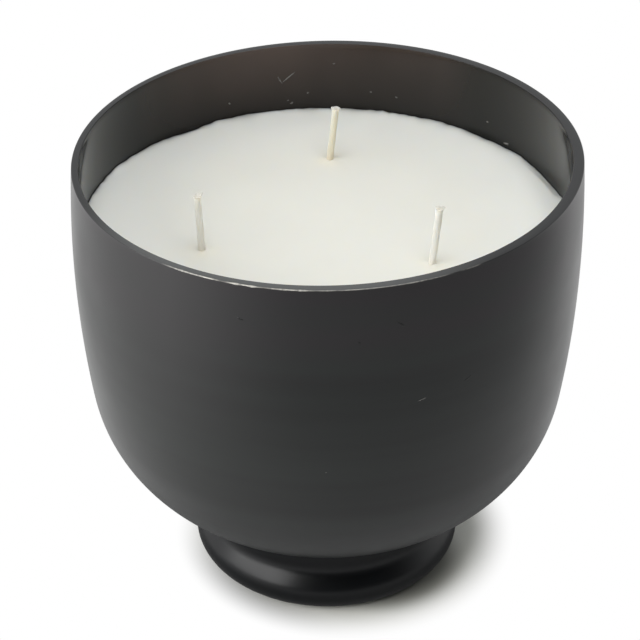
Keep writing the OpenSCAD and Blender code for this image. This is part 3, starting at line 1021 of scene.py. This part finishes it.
class CANDLE_OT_stage(Operator):
    """Sets the white floor, the soft light and the camera"""

    bl_idname = "candle.stage"
    bl_label = "Studio"

    # Softboxes: name, place, size across and up in metres, power in watts
    softboxes = (
        ("softbox_left", (-0.910, -0.526, 0.510), 1.10, 0.70, 10.0),
        ("softbox_top", (0.10, -0.42, 1.38), 0.95, 0.95, 12.1),
    )

    floor_half = 3.0
    # Candle's shadow on the paper: its middle, and the distances between which it fades out
    shadow_middle = (0.0064, 0.0015, 0.0)
    shadow_fade = (0.0427, 0.0597)
    # Deep shade on the right, in the same way
    deep_middle = (0.0204, -0.0164, 0.0)
    deep_fade = (0.0173, 0.0305)
    # Way to the front left, and the places along it between which painted shade darkens the paper
    left_way = (-0.709, -0.706, 0.0)
    left_shade_fade = (0.0300, 0.0540)
    # Mirrored paper turns white between these distances from the shadow's middle, and between these places
    # along the way to the back left
    ring_fade = (0.070, 0.140)
    back_way = (-0.55, 0.83, 0.0)
    back_fade = (-0.23, 0.03)
    # Parts of a direction to the back and up between which the room's light rises and falls
    room_rise = (-0.55, 0.45)
    room_fall = (0.15, 0.60)
    # The same for the white backdrop that the glass mirrors
    backdrop_rise = (-0.25, 0.55)
    backdrop_fall = (0.15, 0.45)

    def floor(self, stage):
        """A level sheet of paper. The camera sees it white far from the candle, and lit and shaded near it,
        with painted shade in front on the left and at the foot on the right. The glass mirrors it white
        towards the back, and grey elsewhere."""
        half = self.floor_half
        corners = [(-half, -half, 0.0), (half, -half, 0.0), (half, half, 0.0), (-half, half, 0.0)]
        mesh = new_mesh("studio_floor", corners, [(0, 1, 2, 3)])
        material = bpy.data.materials.new("white_paper")
        material.use_nodes = True
        net = Net(material.node_tree, clear=True)
        spot = net.coords.outputs["Object"]
        camera, mirrored = net.looking()
        white = net.node("ShaderNodeEmission", {"Strength": 1.0})
        away = net.vector("DISTANCE", spot, self.shadow_middle)
        behind = net.eased(net.vector("DOT_PRODUCT", spot, self.back_way), self.back_fade)
        bright = net.product(mirrored, behind, net.eased(away, self.ring_fade))
        grey = net.node("ShaderNodeBsdfDiffuse", {"Color": [stage.mirrored_paper] * 3})
        reflected = net.blend(bright, grey, white)
        # Painted shade: the paper darkens towards the front left, and deep shade is painted at the foot on
        # the right
        left = net.eased(net.vector("DOT_PRODUCT", spot, self.left_way), self.left_shade_fade)
        paper = net.mix(left, stage.colour_paper, stage.colour_left_shade)
        beyond = net.eased(net.vector("DISTANCE", spot, self.deep_middle), self.deep_fade)
        shade = net.mix(beyond, stage.colour_deep, paper)
        shaded = net.node("ShaderNodeBsdfDiffuse", {"Color": shade})
        seen = net.blend(net.eased(away, self.shadow_fade), shaded, white)
        net.finish("ShaderNodeOutputMaterial", net.blend(camera, reflected, seen))
        mesh.materials.append(material)
        floor = set_down("studio_floor", mesh)

    def sky(self, stage):
        """Soft light all round, dim behind the camera, brightest on the left and dimmer high up. The camera
        sees plain white, and the glass mirrors a white backdrop low behind the candle."""
        world = bpy.data.worlds.new("studio_light")
        bpy.context.scene.world = world
        world.use_nodes = True
        net = Net(world.node_tree, clear=True)
        heading = net.node("ShaderNodeSeparateXYZ", {0: net.coords.outputs["Generated"]}).outputs
        depth = net.eased(heading["Y"], self.room_rise, stage.room_front, stage.room_back)
        side = net.ranged(heading["X"], (-1.0, 1.0), stage.room_left, stage.room_right)
        high = net.eased(heading["Z"], self.room_fall, 1.0, stage.room_high)
        level = net.product(depth, side, high)
        soft = net.node("ShaderNodeBackground", {"Color": stage.room_tint, "Strength": level})
        white = net.node("ShaderNodeBackground", {"Color": (1.0, 1.0, 1.0)})
        camera, mirrored = net.looking()
        facing = net.eased(heading["Y"], self.backdrop_rise)
        low = net.eased(heading["Z"], self.backdrop_fall, 1.0, 0.0)
        seen = net.math("MAXIMUM", camera, net.product(mirrored, facing, low))
        net.finish("ShaderNodeOutputWorld", net.blend(seen, soft, white))

    def lamps(self, aim):
        """Rectangular softboxes that face the candle."""
        for name, spot, across, up, power in self.softboxes:
            lamp = bpy.data.lights.new(name, "AREA")
            lamp.shape = "RECTANGLE"
            lamp.size, lamp.size_y, lamp.energy = across, up, power
            held = set_down(name, lamp)
            held.location = spot
            held.rotation_euler = (aim - Vector(spot)).to_track_quat("-Z", "Y").to_euler()

    def camera(self, stage):
        """Camera in front, looking down on the wax, at the distance that fits the rim and the foot."""
        lens = bpy.data.cameras.new("camera")
        lens.lens = stage.focal_px / stage.frame_px * lens.sensor_width
        lens.clip_start = 0.01
        held = set_down("camera", lens)
        back, rise = math.cos(stage.elevation), math.sin(stage.elevation)
        held.location = (-stage.offset, -stage.distance * back, stage.aim_h + stage.distance * rise)
        held.rotation_euler = (math.pi / 2 - stage.elevation, 0.0, 0.0)
        bpy.context.scene.camera = held

    def execute(self, context):
        """Colours are shown as they are lit, with no film look."""
        stage = settings().stage
        bpy.context.scene.view_settings.view_transform = "Standard"
        self.floor(stage)
        self.sky(stage)
        self.lamps(Vector((0.0, 0.0, stage.aim_h)))
        self.camera(stage)
        return {"FINISHED"}


OPERATORS = (CANDLE_OT_bowl, CANDLE_OT_foot, CANDLE_OT_wax, CANDLE_OT_wicks, CANDLE_OT_marks, CANDLE_OT_tabs,
             CANDLE_OT_stage)


class CANDLE_PT_parts(Panel):
    """Lists the candle's pieces in the sidebar"""

    bl_idname = "CANDLE_PT_parts"
    bl_label = "Candle"
    bl_space_type = "VIEW_3D"
    bl_region_type = "UI"
    bl_category = "Candle"

    def draw(self, context):
        """One button for each operator."""
        for operator in OPERATORS:
            self.layout.operator(operator.bl_idname)


CLASSES = (BowlProps, FootProps, WaxProps, WickProps, StageProps, CandleProps, *OPERATORS, CANDLE_PT_parts)


def register():
    """Makes the classes and the candle's settings known."""
    for made in CLASSES:
        bpy.utils.register_class(made)
    bpy.types.Scene.candle = PointerProperty(type=CandleProps)


def unregister():
    """Takes the settings and the classes out again."""
    del bpy.types.Scene.candle
    for made in reversed(CLASSES):
        bpy.utils.unregister_class(made)


def main():
    """Builds every piece in order."""
    register()
    for operator in OPERATORS:
        group, name = operator.bl_idname.split(".")
        getattr(getattr(bpy.ops, group), name)()


if __name__ == "__main__":
    main()
